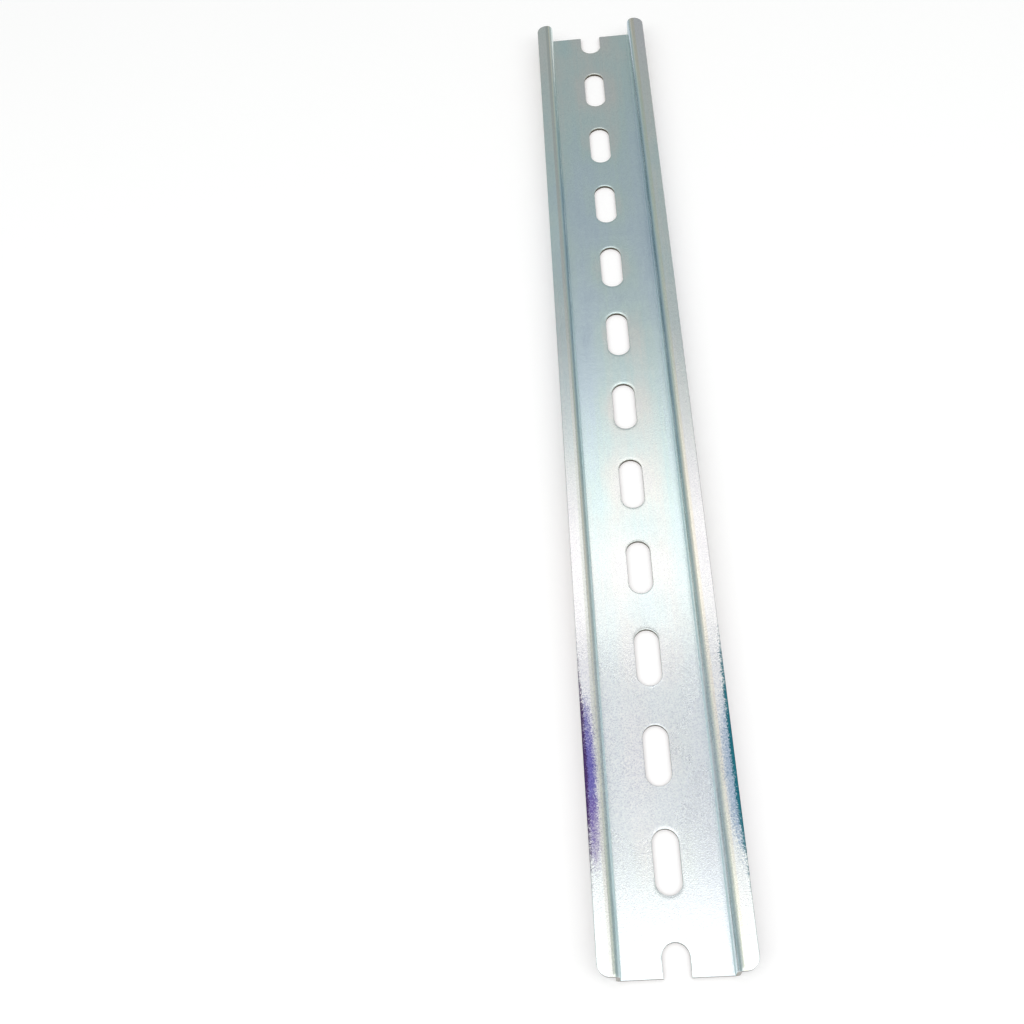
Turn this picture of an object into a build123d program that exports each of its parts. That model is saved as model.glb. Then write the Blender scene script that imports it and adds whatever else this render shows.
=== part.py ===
from build123d import *
import os

# Slotted mounting rail of the 35 mm top-hat section, one cut length.
# It is one piece of steel strip: slots are punched along the middle at an even pitch, the strip is
# rolled into a shallow channel with a flange turned out along each side, plated with zinc, and
# cropped through the middle of a slot at both ends, with the flange corners rounded by the same tool.
# The rail lies on the back of its web, open side up. X runs across it, Y along it and Z up.
# The origin is the middle of the web's back. All sizes are in millimetres.

# section
RAIL_WIDTH = 35.0
RAIL_DEPTH = 7.5
CHANNEL_WIDTH = 25.0
STRIP_THICKNESS = 1.0
FLANGE_BEND_RADIUS = 0.8
WEB_BEND_RADIUS = 0.3
STRIP_EDGE_RADIUS = 0.2

# slots, and the length as a whole number of their pitches
SLOT_WIDTH = 6.2
SLOT_LENGTH = 15.0
SLOT_PITCH = 25.0
PITCHES = 12
PUNCHED_EDGE_RADIUS = 0.15

# cropped ends
FLANGE_CORNER_RADIUS = 3.0

RAIL_LENGTH = SLOT_PITCH * PITCHES


def strip_section():
    """The section across the rail: the strip's middle line given its thickness, side edges rounded."""
    wall_middle = (CHANNEL_WIDTH + STRIP_THICKNESS) / 2
    web_middle = STRIP_THICKNESS / 2
    flange_middle = RAIL_DEPTH - STRIP_THICKNESS / 2
    flange_bend = FLANGE_BEND_RADIUS + STRIP_THICKNESS / 2
    web_bend = WEB_BEND_RADIUS + STRIP_THICKNESS / 2
    middle_line = FilletPolyline(
        (-RAIL_WIDTH / 2, flange_middle),
        (-wall_middle, flange_middle),
        (-wall_middle, web_middle),
        (wall_middle, web_middle),
        (wall_middle, flange_middle),
        (RAIL_WIDTH / 2, flange_middle),
        radius=(flange_bend, web_bend, web_bend, flange_bend),
    )
    strip = trace(middle_line, STRIP_THICKNESS)
    across = strip.vertices().group_by(Axis.X)
    return fillet(across[0] + across[-1], STRIP_EDGE_RADIUS)


def rolled_strip():
    """The section drawn out to the rail's length."""
    section = Plane.XZ * strip_section()
    return extrude(section, RAIL_LENGTH / 2, both=True)


def punched(strip):
    """The strip with a slot at every pitch, out to the two that the rail's ends pass through."""
    slot = SlotOverall(SLOT_LENGTH, SLOT_WIDTH, rotation=90)
    places = GridLocations(0, SLOT_PITCH, 1, PITCHES + 1)
    slots = extrude(Sketch() + places * slot, STRIP_THICKNESS)
    strip = strip - slots
    top_of_web = strip.edges().filter_by_position(Axis.Z, STRIP_THICKNESS, STRIP_THICKNESS)
    slot_rims = top_of_web.filter_by_position(Axis.X, -SLOT_WIDTH / 2, SLOT_WIDTH / 2)
    return fillet(slot_rims, PUNCHED_EDGE_RADIUS)


def crop_outline():
    """What the cropping tool leaves, seen from above: a rectangle with its corners rounded."""
    outline = RectangleRounded(RAIL_WIDTH, RAIL_LENGTH, FLANGE_CORNER_RADIUS)
    return extrude(outline, RAIL_DEPTH)


rail = punched(rolled_strip()) & crop_outline()

os.makedirs("parts", exist_ok=True)
export_step(rail, "parts/din_rail.step")
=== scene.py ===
from math import atan2, cos, hypot, pi, radians, sin

import bmesh
import bpy
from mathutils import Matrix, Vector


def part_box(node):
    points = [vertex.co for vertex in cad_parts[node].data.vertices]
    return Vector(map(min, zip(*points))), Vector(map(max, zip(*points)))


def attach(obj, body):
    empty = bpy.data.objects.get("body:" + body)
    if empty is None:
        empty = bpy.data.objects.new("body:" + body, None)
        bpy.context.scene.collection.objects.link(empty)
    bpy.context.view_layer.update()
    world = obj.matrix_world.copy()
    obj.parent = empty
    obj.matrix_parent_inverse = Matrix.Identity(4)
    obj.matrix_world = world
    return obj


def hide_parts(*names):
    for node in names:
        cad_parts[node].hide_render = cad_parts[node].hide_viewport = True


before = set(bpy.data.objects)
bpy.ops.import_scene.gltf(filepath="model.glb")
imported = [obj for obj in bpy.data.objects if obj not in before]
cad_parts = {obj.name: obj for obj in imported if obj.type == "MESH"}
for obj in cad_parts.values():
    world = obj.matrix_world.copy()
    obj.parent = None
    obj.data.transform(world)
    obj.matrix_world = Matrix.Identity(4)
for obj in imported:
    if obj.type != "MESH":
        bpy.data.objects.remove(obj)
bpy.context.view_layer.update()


# The camera
# It stands beyond the near end of the rail, a little to its left, and looks down along it.

camera_data = bpy.data.cameras.new("camera")
camera_data.sensor_width = 36
camera_data.lens = 42.2
camera_data.clip_start = 0.01
camera = bpy.data.objects.new("camera", camera_data)
camera.location = (-0.0131, -0.1868, 0.2809)
camera.rotation_euler = (radians(28.86), radians(4.98), radians(-1.87))
bpy.context.scene.collection.objects.link(camera)
bpy.context.scene.camera = camera


# The rail
# One piece of cold-rolled steel strip, 1 mm thick: slots are punched along its middle, rolls bend it
# into the top-hat section, and a press crops it through a slot at each end and rounds the flanges'
# corners. It is modelled in that order, as a sheet along the middle of the strip's thickness.

rail_low, rail_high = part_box("din_rail")
HALF_WIDTH = rail_high.x
HALF_LENGTH = rail_high.y
DEPTH = rail_high.z
THICKNESS = 0.001
CHANNEL_WIDTH = 0.025
FLANGE_BEND = 0.0008
WEB_BEND = 0.0003
BEND_STEPS = 10
SLOT_PITCH = 0.025
SLOT_WIDTH = 0.0062
SLOT_LENGTH = 0.015
SLOT_ARC_STEPS = 12
FLANGE_CORNER = 0.003
CORNER_STEPS = 12

HALF_SHEET = THICKNESS / 2
FLANGE_TURN = FLANGE_BEND + HALF_SHEET
WEB_TURN = WEB_BEND + HALF_SHEET
WALL_X = CHANNEL_WIDTH / 2 + HALF_SHEET
WEB_EDGE = WALL_X - WEB_TURN

# Places that lie closer together than this count as the same one.
HAIR = 1e-6


def pick(points=False, edges=False, faces=False):
    """Sets what the next selections take."""
    bpy.context.tool_settings.mesh_select_mode = (points, edges, faces)


def start_editing(piece, **kind):
    """Goes into edit mode on the piece, with nothing selected."""
    bpy.context.view_layer.objects.active = piece
    bpy.ops.object.mode_set(mode="EDIT")
    pick(**kind)
    bpy.ops.mesh.select_all(action="DESELECT")


def stop_editing():
    bpy.ops.object.mode_set(mode="OBJECT")


def face_outwards():
    """Points all the faces of the piece outwards."""
    bpy.ops.mesh.select_all(action="SELECT")
    bpy.ops.mesh.normals_make_consistent(inside=False)


def select_edges(piece, wanted):
    """Selects the edges that pass the test, and only those."""
    mesh = bmesh.from_edit_mesh(piece.data)
    bpy.ops.mesh.select_all(action="DESELECT")
    for edge in mesh.edges:
        if wanted(edge):
            edge.select_set(True)
    bmesh.update_edit_mesh(piece.data)


def both_ends(edge, test):
    return all(test(vertex.co) for vertex in edge.verts)


def apply_modifier(piece, kind, **settings):
    """Adds a modifier to the piece with these settings, and applies it."""
    bpy.context.view_layer.objects.active = piece
    modifier = piece.modifiers.new(kind.lower(), kind)
    for name, value in settings.items():
        setattr(modifier, name, value)
    bpy.ops.object.modifier_apply(modifier=modifier.name)


# The flat strip between the bends, one pitch long, with its slot. The two rings round the slot are
# where the punch has drawn the sheet down.
DRAWN_WIDTH = 0.0011
SLOT_SIDE_STEPS = 6
PITCH_SIDE_STEPS = SLOT_ARC_STEPS + SLOT_SIDE_STEPS // 2

bpy.ops.object.select_all(action="DESELECT")
bpy.ops.mesh.primitive_plane_add(size=1, location=(0, 0, 0))
rail = bpy.context.object
rail.name = "zinc_plated_rail"
start_editing(rail, edges=True)
bpy.ops.mesh.select_all(action="SELECT")
bpy.ops.transform.resize(value=(2 * WEB_EDGE, SLOT_PITCH, 1))
bpy.ops.mesh.delete(type="ONLY_FACE")
bpy.ops.mesh.select_all(action="SELECT")
bpy.ops.mesh.subdivide(number_cuts=PITCH_SIDE_STEPS - 1)
bpy.ops.mesh.select_all(action="DESELECT")

drawn_half_width = SLOT_WIDTH / 2 + DRAWN_WIDTH
drawn_length = SLOT_LENGTH + 2 * DRAWN_WIDTH
bpy.ops.mesh.primitive_plane_add(size=1, location=(0, 0, 0))
bpy.ops.transform.resize(value=(2 * drawn_half_width, drawn_length, 1))
bpy.ops.mesh.bevel(
    offset=drawn_half_width, segments=SLOT_ARC_STEPS, affect="VERTICES", clamp_overlap=False)
bpy.ops.mesh.select_all(action="SELECT")
bpy.ops.mesh.remove_doubles(threshold=HAIR)
bpy.ops.mesh.delete(type="ONLY_FACE")
select_edges(rail, lambda edge: edge.calc_length() > SLOT_LENGTH / 4)
bpy.ops.mesh.subdivide(number_cuts=SLOT_SIDE_STEPS - 1)
bpy.ops.mesh.select_all(action="SELECT")
bpy.ops.mesh.bridge_edge_loops()
around_slot = SLOT_LENGTH / 2 + 2 * DRAWN_WIDTH
select_edges(rail, lambda edge: both_ends(edge, lambda co: hypot(co.x, co.y) < around_slot))
bpy.ops.mesh.edge_face_add()
bpy.ops.mesh.inset(thickness=DRAWN_WIDTH / 2, depth=0)
bpy.ops.mesh.inset(thickness=DRAWN_WIDTH / 2, depth=0)
bpy.ops.mesh.delete(type="FACE")
pick(edges=True)
face_outwards()
bpy.ops.transform.translate(value=(0, -HALF_LENGTH, HALF_SHEET))
stop_editing()

pitches = round(2 * HALF_LENGTH / SLOT_PITCH)
apply_modifier(
    rail, "ARRAY", count=pitches + 1, use_relative_offset=False, use_constant_offset=True,
    constant_offset_displace=(0, SLOT_PITCH, 0), use_merge_vertices=True, merge_threshold=HAIR)

# The rolls turn the strip up into the walls, and out again into the flanges.
wall_height = DEPTH - THICKNESS - WEB_TURN - FLANGE_TURN
flange_flat = HALF_WIDTH - WALL_X - FLANGE_TURN
start_editing(rail, edges=True)
for side in (1, -1):
    select_edges(rail, lambda edge: both_ends(edge, lambda co: side * co.x > WEB_EDGE - HAIR))
    bpy.ops.mesh.spin(
        steps=BEND_STEPS, angle=side * pi / 2, axis=(0, 1, 0),
        center=(side * WEB_EDGE, 0, HALF_SHEET + WEB_TURN))
    bpy.ops.mesh.extrude_edges_move(TRANSFORM_OT_translate={"value": (0, 0, wall_height)})
    bpy.ops.mesh.spin(
        steps=BEND_STEPS, angle=side * pi / 2, axis=(0, -1, 0),
        center=(side * (WALL_X + FLANGE_TURN), 0, DEPTH - HALF_SHEET - FLANGE_TURN))
    bpy.ops.mesh.extrude_edges_move(TRANSFORM_OT_translate={"value": (side * flange_flat, 0, 0)})


def crop(place, outwards):
    """Cuts the strip along a plane, and takes away what lies beyond it."""
    bpy.ops.mesh.select_all(action="SELECT")
    bpy.ops.mesh.bisect(plane_co=place, plane_no=outwards, clear_outer=True, threshold=HAIR)


# The press crops it square at both ends, and round at the flanges' corners.
for end in (1, -1):
    crop((0, end * HALF_LENGTH, 0), (0, end, 0))
    for side in (1, -1):
        for step in range(1, CORNER_STEPS):
            turn = step / CORNER_STEPS * pi / 2
            corner_x = HALF_WIDTH - FLANGE_CORNER * (1 - cos(turn))
            corner_y = HALF_LENGTH - FLANGE_CORNER * (1 - sin(turn))
            crop((side * corner_x, end * corner_y, 0), (side * cos(turn), end * sin(turn), 0))
face_outwards()
stop_editing()
apply_modifier(
    rail, "SOLIDIFY", thickness=THICKNESS, offset=0, use_even_offset=True, use_quality_normals=True)

# The punch draws the top of the web down a little round each slot: the outer ring by a share of the
# whole, and the rim by the rest too. The slots' round ends are made of short straight steps, so their
# points are found within a small gap.
DRAWN_DOWN = 0.00003
OUTER_SHARE = 0.3
STEP_GAP = 0.00002


def from_slot(co):
    """How far a place is outside the nearest slot, seen from above."""
    along = abs(co.y - round(co.y / SLOT_PITCH) * SLOT_PITCH)
    return hypot(co.x, max(along - (SLOT_LENGTH - SLOT_WIDTH) / 2, 0)) - SLOT_WIDTH / 2


def select_points(piece, wanted):
    """Selects the points that pass the test, and only those."""
    pick(points=True)
    mesh = bmesh.from_edit_mesh(piece.data)
    bpy.ops.mesh.select_all(action="DESELECT")
    for vertex in mesh.verts:
        if wanted(vertex.co):
            vertex.select_set(True)
    mesh.select_flush(True)
    bmesh.update_edit_mesh(piece.data)


def on_web_top(co):
    return abs(co.z - THICKNESS) < DRAWN_DOWN


start_editing(rail, edges=True)
face_outwards()
for width, share in ((DRAWN_WIDTH / 2, OUTER_SHARE), (0, 1 - OUTER_SHARE)):
    select_points(rail, lambda co: on_web_top(co) and from_slot(co) < width + STEP_GAP)
    bpy.ops.transform.translate(value=(0, 0, -share * DRAWN_DOWN))
pick(edges=True)

# The punch and the press round the upper edges and leave the lower ones nearly sharp, and the strip's
# own long edges are round from the mill. Each edge's rounding is a share of the widest.
WIDEST_EDGE = 0.0002
LONG_EDGE, SLOT_TOP, END_TOP, UNDER_EDGE = 1, 0.75, 0.5, 0.2
EDGE_STEPS = 4


def is_cut(face):
    """Whether a face was made by the punch or the press, and not by the rolling mill."""
    middle = face.calc_center_median()
    if abs(face.normal.z) > 0.5:
        return False
    in_slot = from_slot(middle) < SLOT_WIDTH / 10 and abs(middle.x) < SLOT_WIDTH
    at_end = abs(middle.y) > HALF_LENGTH - FLANGE_CORNER and abs(face.normal.y) > 0.05
    return in_slot or at_end


def is_inner(face):
    """Whether a face of the strip looks up or into the channel."""
    upright = abs(face.normal.z) < 0.1
    return face.normal.z > 0.1 or upright and face.normal.x * face.calc_center_median().x < 0


def weigh_edges(piece, wanted, weight):
    """Sets the share of the widest rounding that the edges which pass the test get."""
    select_edges(piece, wanted)
    bpy.ops.transform.edge_bevelweight(value=weight)


def cut_edge(edge, inner):
    """Whether an edge runs between a cut face and an inner face of the strip, or else an outer one."""
    cut = [is_cut(face) for face in edge.link_faces]
    if len(cut) != 2 or cut[0] == cut[1]:
        return False
    return is_inner(edge.link_faces[cut.index(False)]) == inner


def near_slot(edge):
    return both_ends(edge, lambda co: from_slot(co) < STEP_GAP)


def corner_step(edge):
    """How many steps round a flange's corner an edge is: 0 on the long side, CORNER_STEPS at the end."""
    middle = (edge.verts[0].co + edge.verts[1].co) / 2
    inward = abs(middle.x) - (HALF_WIDTH - FLANGE_CORNER)
    beyond = abs(middle.y) - (HALF_LENGTH - FLANGE_CORNER)
    if inward < 0 or abs(middle.y) > HALF_LENGTH - HAIR:
        return CORNER_STEPS
    return round(atan2(max(beyond, 0), inward) / (pi / 2) * CORNER_STEPS)


def long_edge(edge):
    level = abs(edge.verts[0].co.z - edge.verts[1].co.z) < HAIR
    return level and both_ends(edge, lambda co: abs(co.x) > HALF_WIDTH - HAIR)


def corner_edge(edge, inner, step):
    return cut_edge(edge, inner) and not near_slot(edge) and corner_step(edge) == step


weigh_edges(rail, lambda edge: cut_edge(edge, True) and near_slot(edge), SLOT_TOP)
weigh_edges(rail, long_edge, LONG_EDGE)
for step in range(1, CORNER_STEPS + 1):
    for inner, end_edge in ((True, END_TOP), (False, UNDER_EDGE)):
        weight = LONG_EDGE + (end_edge - LONG_EDGE) * step / CORNER_STEPS
        weigh_edges(rail, lambda edge: corner_edge(edge, inner, step), weight)
weigh_edges(rail, lambda edge: cut_edge(edge, False) and near_slot(edge), UNDER_EDGE)
stop_editing()
apply_modifier(
    rail, "BEVEL", width=WIDEST_EDGE, segments=EDGE_STEPS, limit_method="WEIGHT", use_clamp_overlap=False)

# The bends and rounded edges are smooth, and run into flat faces beside them.
start_editing(rail, faces=True)
face_outwards()
stop_editing()
bpy.ops.object.select_all(action="DESELECT")
rail.select_set(True)
bpy.context.view_layer.objects.active = rail
bpy.ops.object.shade_smooth_by_angle(angle=radians(35))
apply_modifier(rail, "WEIGHTED_NORMAL", keep_sharp=True)


def add_node(finish, kind, inputs=None, **settings):
    """Adds a node to a finish with these settings. Each input is joined to a socket or set to a value."""
    node = finish.node_tree.nodes.new("ShaderNode" + kind)
    for name, value in settings.items():
        setattr(node, name, value)
    for name, value in (inputs or {}).items():
        if isinstance(value, bpy.types.NodeSocket):
            finish.node_tree.links.new(value, node.inputs[name])
        else:
            node.inputs[name].default_value = value
    return node


def reckon(finish, operation, *values):
    """A Math node's result."""
    return add_node(finish, "Math", dict(enumerate(values)), operation=operation).outputs[0]


def product(finish, first, *others):
    """All the values multiplied together."""
    for other in others:
        first = reckon(finish, "MULTIPLY", first, other)
    return first


def fade(finish, value, start, end, low=0.0, high=1.0):
    """Goes smoothly from low to high while the value goes from start to end."""
    inputs = {"Value": value, "From Min": start, "From Max": end, "To Min": low, "To Max": high}
    return add_node(finish, "MapRange", inputs, interpolation_type="SMOOTHSTEP").outputs["Result"]


def ridge(finish, value, rise, fall):
    """Goes up to 1 over the rise and down again over the fall. Each is a start and an end."""
    return product(finish, fade(finish, value, *rise), fade(finish, value, *fall))


def mottle(finish, place, size, seed, detail=3.0, roughness=0.5):
    """A cloudy pattern from 0 to 1. Its size is in millimetres, across, along and up."""
    scale = tuple(1 / length for length in size)
    stretched = add_node(
        finish, "Mapping", {"Vector": place, "Location": (seed, -seed, seed), "Scale": scale})
    inputs = {"Vector": stretched.outputs[0], "Scale": 1.0, "Detail": detail, "Roughness": roughness}
    return add_node(finish, "TexNoise", inputs).outputs["Fac"]


def blend(finish, amount, first, second, kind="MIX"):
    """Two colours mixed by an amount from 0 to 1. Either may be a socket or red, green and blue."""
    mixer = add_node(finish, "Mix", data_type="RGBA", blend_type=kind)
    for index, value in ((0, amount), (6, first), (7, second)):
        if isinstance(value, bpy.types.NodeSocket):
            finish.node_tree.links.new(value, mixer.inputs[index])
        elif index:
            mixer.inputs[index].default_value = (*value, 1)
        else:
            mixer.inputs[index].default_value = value
    return mixer.outputs[2]


def colour_at(finish, value, stops):
    """The colour that belongs to a value. Each stop is a value and its red, green and blue."""
    ramp = add_node(finish, "ValToRGB", {"Fac": value})
    elements = ramp.color_ramp.elements
    for index, (position, colour) in enumerate(stops):
        element = elements[index] if index < 2 else elements.new(position)
        element.position = position
        element.color = (*colour, 1)
    return ramp.outputs["Color"]


def new_finish(name):
    """A finish with one metal shader, and the place on the piece in millimetres."""
    finish = bpy.data.materials.new(name)
    finish.use_nodes = True
    finish.node_tree.nodes.clear()
    shader = add_node(finish, "BsdfPrincipled", {"Metallic": 1.0})
    add_node(finish, "OutputMaterial", {"Surface": shader.outputs[0]})
    metres = add_node(finish, "TexCoord").outputs["Object"]
    place = add_node(finish, "VectorMath", {0: metres, "Scale": 1000.0}, operation="SCALE").outputs[0]
    return finish, shader, place


def join(finish, output, shader, name):
    finish.node_tree.links.new(output, shader.inputs[name])


# The zinc plate. Its sizes and places are in millimetres.
plated, shader, place = new_finish("zinc_plate")
across, along, up = add_node(plated, "SeparateXYZ", {0: place}).outputs
off_middle = reckon(plated, "ABSOLUTE", across)
right = fade(plated, across, -1.0, 1.0)
on_flange = product(plated, fade(plated, up, 5.6, 7.2), fade(plated, off_middle, 12.5, 15.0))
on_flange_top = fade(plated, up, 6.6, 7.1)

# Patterns: large clouds, bands and streaks along the strip, smaller patches and fine grain
clouds = mottle(plated, place, (22, 60, 22), 3.1, detail=4)
bands = mottle(plated, place, (8, 220, 8), 2.6, detail=2)
streaks = mottle(plated, place, (0.7, 55, 0.7), 5.7, detail=3)
patches = mottle(plated, place, (7, 11, 7), 8.4, detail=5, roughness=0.6)
fine = mottle(plated, place, (0.45, 0.5, 0.45), 9.2, detail=2, roughness=0.7)
grain = mottle(plated, place, (0.26, 0.3, 0.26), 1.3, detail=2, roughness=0.7)

# The zinc's crystals show as flecks, most where the plate is dull, towards one end
CRYSTALS_PER_MM = 4.4
DULL_MIDDLE, DULL_EDGE = -98.0, (34.0, 8.0)
crystals = add_node(plated, "TexVoronoi", {"Vector": place, "Scale": CRYSTALS_PER_MM, "Randomness": 1.0})
fleck_red = add_node(plated, "SeparateColor", {0: crystals.outputs["Color"]}).outputs[0]
flecks = reckon(plated, "MULTIPLY_ADD", fine, 0.5, product(plated, fleck_red, 0.5))
from_dull = reckon(plated, "ABSOLUTE", reckon(plated, "SUBTRACT", along, DULL_MIDDLE))
dull = product(plated, fade(plated, from_dull, *DULL_EDGE), fade(plated, clouds, 0.30, 0.62, 0.55, 1.0))

# The thickness of the clear passivated film, as a place along its colours from 0 to 1. It rises and
# falls along the rail, and is another round the slots, on the flanges and where the plate is dull.
WAVE_LENGTH, WAVE_START = 200, 45.0
wave = product(plated, reckon(plated, "ADD", along, WAVE_START), 2 * pi / WAVE_LENGTH)
film = reckon(plated, "MULTIPLY_ADD", reckon(plated, "COSINE", wave), 0.075, 0.60)
film = reckon(plated, "MULTIPLY_ADD", across, -0.003, film)
for pattern, share in ((clouds, 0.42), (patches, 0.14), (streaks, 0.09), (bands, 0.22)):
    film = reckon(plated, "MULTIPLY_ADD", reckon(plated, "SUBTRACT", pattern, 0.5), share, film)

slot_wave = reckon(plated, "COSINE", product(plated, along, 2 * pi / (1000 * SLOT_PITCH)))
slot_wave = reckon(plated, "MULTIPLY_ADD", slot_wave, 0.38, 0.62)
round_slots = product(plated, slot_wave, fade(plated, off_middle, 10.0, 2.5))
flange_film = product(plated, on_flange, fade(plated, across, -12.0, 12.0, 0.08, 0.22))
film = reckon(plated, "MULTIPLY_ADD", round_slots, 0.17, film)
film = reckon(plated, "ADD", flange_film, film)
film = reckon(plated, "MULTIPLY_ADD", dull, 0.08, film)

FILM_COLOURS = (
    (0.00, (0.68, 0.69, 0.68)),
    (0.14, (0.76, 0.745, 0.69)),
    (0.27, (0.75, 0.70, 0.70)),
    (0.37, (0.67, 0.66, 0.745)),
    (0.46, (0.60, 0.69, 0.76)),
    (0.56, (0.645, 0.74, 0.78)),
    (0.66, (0.66, 0.765, 0.74)),
    (0.78, (0.765, 0.765, 0.72)),
    (0.90, (0.78, 0.74, 0.74)),
    (1.00, (0.72, 0.71, 0.77)),
)
tint = colour_at(plated, film, FILM_COLOURS)

# Where the plate is dull it is greyer, towards the near end it is paler, a painted highlight, and halfway
# along the rail the flanges are grey.
DULL_GREY, NEAR_END_PAINTED_HIGHLIGHT, FLANGE_GREY = (0.63, 0.67, 0.74), (0.76, 0.765, 0.76), (0.50, 0.53, 0.54)
from_grey = reckon(plated, "ABSOLUTE", reckon(plated, "SUBTRACT", along, 3.0))
greyed = product(
    plated, fade(plated, from_grey, 62.0, 8.0), on_flange, fade(plated, across, -12.0, 12.0, 0.55, 0.36))
tint = blend(plated, product(plated, dull, 0.45), tint, DULL_GREY)
tint = blend(plated, fade(plated, along, -20.0, -85.0, 0.0, 0.6), tint, NEAR_END_PAINTED_HIGHLIGHT)
tint = blend(plated, greyed, tint, FLANGE_GREY)

# The inside of the walls and their corners at the web are matt, and painted pale there as a painted
# reflection of light, except the upper part of the right wall, which gets painted shade, darker and
# bluer at one end. The bends into the flanges get a warmer painted reflection, and beside the left
# one the flange gets painted shade, greyer.
WALL_PAINTED_LIGHT, WALL_PAINTED_SHADE = (0.87, 0.98, 1.0), (0.47, 0.57, 0.62)
BEND_PAINTED_REFLECTION, BEND_PAINTED_SHADE = (1.0, 0.95, 0.85), (0.62, 0.63, 0.59)
inside = product(plated, ridge(plated, off_middle, (12.29, 12.38), (13.2, 12.9)), fade(plated, up, 0.85, 1.0))
low_on_wall = fade(plated, reckon(plated, "MULTIPLY_ADD", right, 1.8, up), 7.0, 6.6)
matt_wall_painted_light = product(plated, inside, low_on_wall, fade(plated, along, 60.0, 0.0, 0.3, 1.0))
wall_painted_shade = product(plated, inside, right, fade(plated, up, 3.5, 5.2), fade(plated, along, -60.0, 0.0))
bend_painted_reflection = product(plated, ridge(plated, off_middle, (13.4, 13.8), (14.9, 14.4)), fade(plated, up, 6.4, 6.9))
bend_painted_shade = product(plated, ridge(plated, across, (-15.0, -14.5), (-13.6, -14.1)), on_flange_top)
tint = blend(plated, matt_wall_painted_light, tint, WALL_PAINTED_LIGHT)
tint = blend(plated, bend_painted_reflection, tint, BEND_PAINTED_REFLECTION, "MULTIPLY")
tint = blend(plated, wall_painted_shade, tint, WALL_PAINTED_SHADE)
tint = blend(plated, bend_painted_shade, tint, BEND_PAINTED_SHADE)


def stain(middle, reach, edge, most):
    """A blotch on a flange. It fades out from its middle over the edge, and bare flecks break it up."""
    aside = reckon(plated, "DIVIDE", reckon(plated, "SUBTRACT", across, middle[0]), reach[0])
    beyond = reckon(plated, "DIVIDE", reckon(plated, "SUBTRACT", along, middle[1]), reach[1])
    spread = reckon(plated, "ADD", reckon(plated, "POWER", aside, 2.0), reckon(plated, "POWER", beyond, 2.0))
    ragged = reckon(plated, "MULTIPLY_ADD", reckon(plated, "SUBTRACT", patches, 0.5), 1.1, spread)
    ragged = reckon(plated, "MULTIPLY_ADD", reckon(plated, "SUBTRACT", flecks, 0.5), 1.4, ragged)
    return product(plated, fade(plated, ragged, *edge, 0.0, most), on_flange_top)


# Heavy passivation has stained the flanges violet on the left and teal on the right, near one end.
# Each stain has its middle, its reach across and along, where its edge starts and ends, its strength
# and its colour.
STAINS = (
    ((-16.4, -105), (1.85, 17), (1.5, 0.1), 0.90, (0.09, 0.07, 0.37)),
    ((-16.0, -119), (1.5, 9), (1.3, 0.2), 0.45, (0.20, 0.12, 0.34)),
    ((-17.6, -103), (1.0, 27), (1.3, 0.3), 0.90, (0.06, 0.025, 0.10)),
    ((16.9, -107), (2.3, 20), (1.5, 0.1), 0.80, (0.26, 0.38, 0.52)),
    ((17.7, -103), (1.35, 30), (1.2, 0.5), 0.95, (0.005, 0.15, 0.19)),
)
for middle, reach, edge, most, stain_colour in STAINS:
    tint = blend(plated, stain(middle, reach, edge, most), tint, stain_colour)

FLECK_COLOURS = (
    (0.22, (0.60, 0.60, 0.70)),
    (0.42, (0.90, 0.89, 0.95)),
    (0.58, (1.0, 1.01, 1.01)),
    (0.78, (1.18, 1.13, 1.12)),
)
fleck_tint = colour_at(plated, flecks, FLECK_COLOURS)
tint = blend(plated, reckon(plated, "MULTIPLY_ADD", dull, 0.50, 0.22), tint, fleck_tint, "MULTIPLY")
join(plated, tint, shader, "Base Color")

roughness = reckon(plated, "MULTIPLY_ADD", patches, 0.10, 0.17)
roughness = reckon(plated, "MULTIPLY_ADD", dull, 0.10, roughness)
roughness = reckon(plated, "MULTIPLY_ADD", matt_wall_painted_light, 0.35, roughness)
join(plated, roughness, shader, "Roughness")

# Rolling lines and fine scratches along the strip, over the grain
lines = mottle(plated, place, (0.22, 30, 0.22), 7.7, detail=2)
slanted = {"Vector": place, "Rotation": (0, 0, radians(8)), "Scale": (1.1, 0.03, 1.1)}
long_noise = {"Vector": add_node(plated, "Mapping", slanted).outputs[0], "Scale": 1.0, "Detail": 1.0}
scratches = add_node(plated, "TexNoise", long_noise).outputs["Fac"]
height = reckon(plated, "MULTIPLY_ADD", lines, 0.12, product(plated, grain, 0.8))
height = reckon(plated, "MULTIPLY_ADD", fade(plated, scratches, 0.77, 0.80), -0.5, height)
relief = add_node(plated, "Bump", {"Height": height, "Strength": 0.5, "Distance": 0.00004})
join(plated, relief.outputs[0], shader, "Normal")

# The sheared faces. The punch and the press leave a bright band at the top and a rough break under it,
# so how far up the face is within the strip is found for the web and for the flanges alike. All three
# colours are darker than bare steel, with painted shade in them.
WEB_TO_FLANGE = 6.5
BREAK_DARK_PAINTED_SHADE, BREAK_STAINED_PAINTED_SHADE, BURNISHED_BAND_PAINTED_SHADE = (0.045, 0.040, 0.030), (0.13, 0.115, 0.09), (0.20, 0.19, 0.155)
sheared, shader, place = new_finish("sheared_steel")
height = add_node(sheared, "SeparateXYZ", {0: place}).outputs[2]
through = reckon(sheared, "MODULO", height, WEB_TO_FLANGE)
break_edge = mottle(sheared, place, (0.9, 0.9, 4), 2.2, detail=3)
burnished = fade(sheared, reckon(sheared, "MULTIPLY_ADD", break_edge, 0.25, through), 0.62, 0.72)
tears = mottle(sheared, place, (0.10, 0.10, 0.9), 6.1, detail=3, roughness=0.6)
stained = mottle(sheared, place, (2.5, 2.5, 2.5), 4.4, detail=3)
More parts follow.
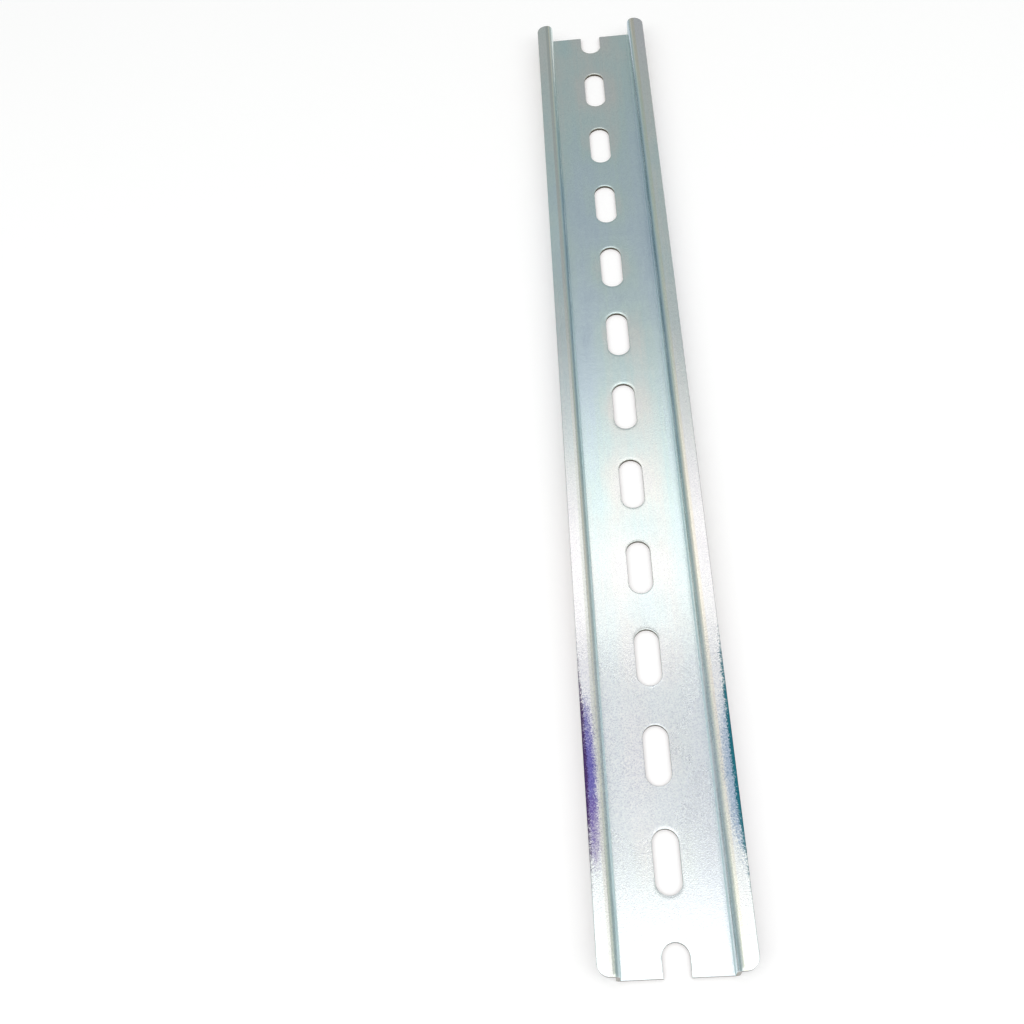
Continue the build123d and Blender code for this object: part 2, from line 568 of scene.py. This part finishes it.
rough_colour_painted_shade = blend(sheared, stained, BREAK_DARK_PAINTED_SHADE, BREAK_STAINED_PAINTED_SHADE)
join(sheared, blend(sheared, burnished, rough_colour_painted_shade, BURNISHED_BAND_PAINTED_SHADE), shader, "Base Color")
join(sheared, fade(sheared, burnished, 0, 1, 0.46, 0.26), shader, "Roughness")
torn = add_node(sheared, "Bump", {"Height": tears, "Strength": 0.5, "Distance": 0.00008})
join(sheared, torn.outputs[0], shader, "Normal")

# Upright faces that the punch or the press left get the sheared finish, and the rest are plated.
rail.data.materials.clear()
rail.data.materials.append(plated)
rail.data.materials.append(sheared)
start_editing(rail, faces=True)
mesh = bmesh.from_edit_mesh(rail.data)
for face in mesh.faces:
    if is_cut(face) and abs(face.normal.z) < 0.1:
        face.select_set(True)
bmesh.update_edit_mesh(rail.data)
rail.active_material_index = 1
bpy.ops.object.material_slot_assign()
stop_editing()

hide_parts("din_rail")
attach(rail, "root")


# The floor
# A large matt white board, on which the rail lies on the back of its web. It takes the rail's shadow,
# and further off it is plain white.

FLOOR_SIZE = 8
BELOW_RAIL = 0.00002
MATT_WHITE, GLOW_COLOUR, GLOW = (0.86, 0.86, 0.86, 1), (1.0, 0.83, 0.83, 1), 0.22
PLAIN_WHITE_FROM, PLAIN_WHITE_TO = 0.30, 0.70

bpy.ops.object.select_all(action="DESELECT")
bpy.ops.mesh.primitive_plane_add(size=FLOOR_SIZE, location=(0, 0, 0))
floor = bpy.context.object
floor.name = "floor"
floor.location.z = rail_low.z - BELOW_RAIL
board = bpy.data.materials.new("white_board")
board.use_nodes = True
board.node_tree.nodes.clear()
rays = add_node(board, "LightPath").outputs
seen = reckon(board, "MAXIMUM", rays["Is Camera Ray"], rays["Is Glossy Ray"])
seen = reckon(board, "MAXIMUM", seen, rays["Is Transmission Ray"])
matt = add_node(board, "BsdfDiffuse", {"Color": MATT_WHITE})
glow = add_node(board, "Emission", {"Color": GLOW_COLOUR, "Strength": product(board, seen, GLOW)})
near = add_node(board, "AddShader", {0: matt.outputs[0], 1: glow.outputs[0]})
metres = add_node(board, "TexCoord").outputs["Object"]
from_middle = add_node(board, "VectorMath", {0: metres}, operation="LENGTH").outputs["Value"]
far_off = product(board, seen, fade(board, from_middle, PLAIN_WHITE_FROM, PLAIN_WHITE_TO))
white = add_node(board, "Emission", {"Strength": 1.0})
whole = add_node(board, "MixShader", {0: far_off, 1: near.outputs[0], 2: white.outputs[0]})
add_node(board, "OutputMaterial", {"Surface": whole.outputs[0]})
floor.data.materials.append(board)


# The light
# Softboxes hang over the rail: a wide one over and behind the camera, a small one over the rail's
# middle, and after a gap three beyond the far end, each dimmer than the last. The rest of the studio is
# a dimmer grey-green that changes with the direction, and the walls and bends reflect it.

LAMP_HEIGHT = 0.9


def add_softbox(name, x, start, end, across, brightness):
    """A lamp the size of a softbox, facing down, from start to end along the rail. Its brightness is
    what a mirror shows of it."""
    lamp = bpy.data.lights.new(name, "AREA")
    lamp.shape = "RECTANGLE"
    lamp.size = across
    lamp.size_y = end - start
    lamp.energy = brightness * pi * across * (end - start)
    holder = bpy.data.objects.new(name, lamp)
    holder.location = (x, (start + end) / 2, LAMP_HEIGHT)
    holder.visible_camera = False
    bpy.context.scene.collection.objects.link(holder)


for name, x, start, end, across, brightness in (
        ("softbox_behind", 0, -0.75, -0.10, 2.4, 1.5),
        ("softbox_above", -0.04, -0.10, 0.06, 0.56, 1.5),
        ("softbox_beyond_0", -0.04, 0.27, 0.42, 0.62, 1.22),
        ("softbox_beyond_1", -0.04, 0.42, 0.52, 0.62, 0.92),
        ("softbox_beyond_2", -0.04, 0.52, 0.62, 0.62, 0.62)):
    add_softbox(name, x, start, end, across, brightness)

# Ahead and behind, the studio's colour depends on how high the direction points, and to the sides on
# how far it leans along the rail.
BY_HEIGHT = (
    (0.00, (0.22, 0.30, 0.31)),
    (0.20, (0.36, 0.40, 0.39)),
    (0.50, (0.41, 0.45, 0.44)),
    (0.66, (0.42, 0.48, 0.50)),
    (0.80, (0.50, 0.54, 0.56)),
    (0.95, (0.46, 0.46, 0.47)),
)
BESIDE = (
    (0.20, (0.37, 0.48, 0.48)),
    (0.41, (0.41, 0.49, 0.50)),
    (0.54, (0.34, 0.40, 0.41)),
    (0.67, (0.20, 0.30, 0.34)),
    (0.74, (0.33, 0.40, 0.41)),
    (0.79, (0.52, 0.56, 0.55)),
)
WARMER = (1.11, 0.97, 0.93)

studio = bpy.data.worlds.new("studio")
bpy.context.scene.world = studio
studio.use_nodes = True
studio.node_tree.nodes.clear()
direction = add_node(studio, "TexCoord").outputs["Generated"]
sideways, lengthways, upwards = add_node(studio, "SeparateXYZ", {0: direction}).outputs
high_up = fade(studio, upwards, 0.20, 0.50, 1.0, fade(studio, lengthways, 0.15, 0.45, 1.05, 1.4))
rise = product(studio, high_up, fade(studio, upwards, 0.50, 0.80, 1.0, 1.4))
warmth = blend(studio, fade(studio, upwards, 0.20, 0.50), (1, 1, 1), WARMER)
beside = colour_at(studio, lengthways, BESIDE)
beside = add_node(studio, "VectorMath", {0: beside, "Scale": rise}, operation="SCALE").outputs[0]
beside = add_node(studio, "VectorMath", {0: beside, 1: warmth}, operation="MULTIPLY").outputs[0]
aside = fade(studio, reckon(studio, "ABSOLUTE", sideways), 0.15, 0.55)
colour = blend(studio, aside, colour_at(studio, upwards, BY_HEIGHT), beside)
seen = add_node(studio, "LightPath").outputs["Is Camera Ray"]
backdrop = blend(studio, seen, colour, (1, 1, 1))
background = add_node(studio, "Background", {"Color": backdrop, "Strength": 1.0})
add_node(studio, "OutputWorld", {"Surface": background.outputs[0]})

bpy.context.scene.view_settings.view_transform = "Standard"
